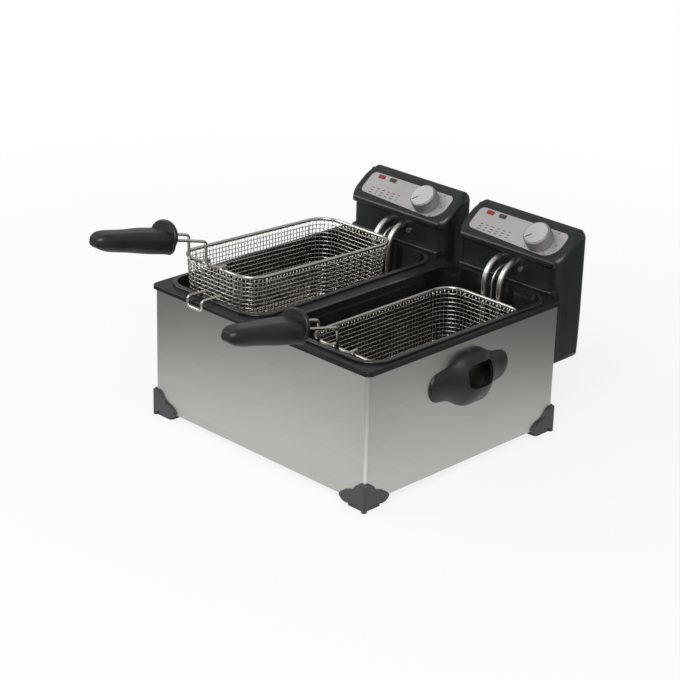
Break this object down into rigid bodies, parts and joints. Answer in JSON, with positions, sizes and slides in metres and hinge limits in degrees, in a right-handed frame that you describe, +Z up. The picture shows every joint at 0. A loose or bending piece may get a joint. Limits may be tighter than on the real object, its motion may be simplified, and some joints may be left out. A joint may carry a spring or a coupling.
{
  "type": "twin tank deep fryer",
  "caption": "Countertop deep fryer: steel casing with black oil tanks, lift-off control heads with heating elements, and wire baskets with detachable handles.",
  "frame": {"origin": "middle of the footprint of the whole part, handles included, at worktop level", "axes": "+Z up, front with the basket handles towards -Y, right-hand tank at +X"},
  "size_m": [0.4352, 0.5762, 0.3102],
  "materials": {
    "steel_brushed": "brushed",
    "frame_black": "satin",
    "enamel_black": "gloss",
    "plastic_black": "satin",
    "plate_silver": "satin",
    "knob_grey": "satin",
    "lamp_red": "gloss",
    "lamp_dark": "gloss",
    "wire_chrome": "polished",
    "element_steel": "satin",
    "switch_beige": "matte"
  },
  "bodies": {
    "cabinet": {"casing": "steel_brushed", "base_plate": "steel_brushed", "top_frame": "frame_black", "foot_front_left": "plastic_black", "foot_front_right": "plastic_black", "foot_rear_left": "plastic_black", "foot_rear_right": "plastic_black", "carry_grip_left": "plastic_black", "carry_grip_right": "plastic_black", "head_rail_left": "plastic_black", "head_rail_right": "plastic_black"},
    "tank_left": {"tank_left": "enamel_black"},
    "head_left": {"head_shell_left": "plastic_black", "head_cover_left": "plastic_black", "control_plate_left": "plate_silver", "lamp_power_left": "lamp_red", "lamp_ready_left": "lamp_dark", "thermostat_left": "switch_beige", "element_left": "element_steel", "element_clamp_left": "switch_beige", "element_screws_left": "element_steel", "sensor_bulb_left": "element_steel", "cutout_left": "switch_beige", "cord_gland_left": "plastic_black", "cover_screws_left": "element_steel"},
    "knob_left": {"knob_left": "knob_grey", "knob_cap_left": "plate_silver", "spindle_left": "element_steel"},
    "reset_left": {"reset_button_left": "lamp_red"},
    "basket_left": {"basket_mesh_left": "wire_chrome", "basket_rim_left": "wire_chrome", "basket_hook_left": "wire_chrome"},
    "handle_left": {"handle_wire_left": "wire_chrome", "handle_grip_left": "plastic_black"},
    "tank_right": {"tank_right": "enamel_black"},
    "head_right": {"head_shell_right": "plastic_black", "head_cover_right": "plastic_black", "control_plate_right": "plate_silver", "lamp_power_right": "lamp_red", "lamp_ready_right": "lamp_dark", "thermostat_right": "switch_beige", "element_right": "element_steel", "element_clamp_right": "switch_beige", "element_screws_right": "element_steel", "sensor_bulb_right": "element_steel", "cutout_right": "switch_beige", "cord_gland_right": "plastic_black", "cover_screws_right": "element_steel"},
    "knob_right": {"knob_right": "knob_grey", "knob_cap_right": "plate_silver", "spindle_right": "element_steel"},
    "reset_right": {"reset_button_right": "lamp_red"},
    "basket_right": {"basket_mesh_right": "wire_chrome", "basket_rim_right": "wire_chrome", "basket_hook_right": "wire_chrome"},
    "handle_right": {"handle_wire_right": "wire_chrome", "handle_grip_right": "plastic_black"}
  },
  "joints": [
    {"name": "tank_left_lift", "type": "slide", "parent": "cabinet", "child": "tank_left", "axis": [0, 0, 1], "range_m": [0, 0.16]},
    {"name": "head_left_lift", "type": "slide", "parent": "tank_left", "child": "head_left", "axis": [0, 0, 1], "range_m": [0, 0.16]},
    {"name": "basket_left_lift", "type": "slide", "parent": "head_left", "child": "basket_left", "axis": [0, 0, 1], "range_m": [0, 0.09]},
    {"name": "handle_left_unhook", "type": "slide", "parent": "basket_left", "child": "handle_left", "axis": [0, 0, 1], "range_m": [0, 0.05]},
    {"name": "knob_left_turn", "type": "hinge", "parent": "head_left", "child": "knob_left", "pos_m": [-0.059, 0.24587, 0.24465], "axis": [0, -0.6018, 0.7986], "range_deg": [-270, 0]},
    {"name": "reset_left_press", "type": "slide", "parent": "head_left", "child": "reset_left", "axis": [0, -1, 0], "range_m": [0, 0.002], "stiffness_N_per_m": 500},
    {"name": "tank_right_lift", "type": "slide", "parent": "cabinet", "child": "tank_right", "axis": [0, 0, 1], "range_m": [0, 0.16]},
    {"name": "head_right_lift", "type": "slide", "parent": "tank_right", "child": "head_right", "axis": [0, 0, 1], "range_m": [0, 0.16]},
    {"name": "basket_right_lift", "type": "slide", "parent": "head_right", "child": "basket_right", "axis": [0, 0, 1], "range_m": [0, 0.15]},
    {"name": "handle_right_unhook", "type": "slide", "parent": "basket_right", "child": "handle_right", "axis": [0, 0, 1], "range_m": [0, 0.05]},
    {"name": "knob_right_turn", "type": "hinge", "parent": "head_right", "child": "knob_right", "pos_m": [0.139, 0.24587, 0.24465], "axis": [0, -0.6018, 0.7986], "range_deg": [-270, 0]},
    {"name": "reset_right_press", "type": "slide", "parent": "head_right", "child": "reset_right", "axis": [0, -1, 0], "range_m": [0, 0.002], "stiffness_N_per_m": 500}
  ]
}
